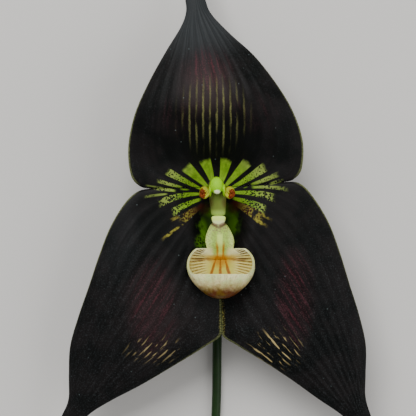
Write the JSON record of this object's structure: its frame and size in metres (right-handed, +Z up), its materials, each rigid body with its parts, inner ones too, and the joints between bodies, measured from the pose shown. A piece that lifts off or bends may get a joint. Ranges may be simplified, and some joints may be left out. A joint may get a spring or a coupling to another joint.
{
  "type": "monkey face orchid flower",
  "caption": "Picked orchid bloom lying face up: three dark sepals with long tails, a pouched lip, column, petals, ribbed ovary and cut stem.",
  "frame": {"origin": "centre of the bloom's bounding box, on the surface it lies on", "axes": "+Z up, out of the open face of the bloom; +Y along the upper sepal's tail; +X to the right of the face"},
  "size_m": [0.091, 0.175, 0.0204],
  "materials": {
    "sepal": "velvety near-black with green wedges round the middle",
    "petal": "waxy brown and yellow with warty tips",
    "column": "waxy yellow-green",
    "cap": "waxy pale cream",
    "lip": "waxy cream with orange streaks and brown keels",
    "stalk": "smooth dark green",
    "bract": "papery dull green"
  },
  "bodies": {
    "root": {"dorsal_sepal": "sepal", "left_sepal": "sepal", "right_sepal": "sepal", "left_petal": "petal", "right_petal": "petal", "column": "column", "anther_cap": "cap", "lip": "lip", "ovary": "stalk", "floral_bract": "bract", "stem": "stalk"}
  },
  "joints": []
}
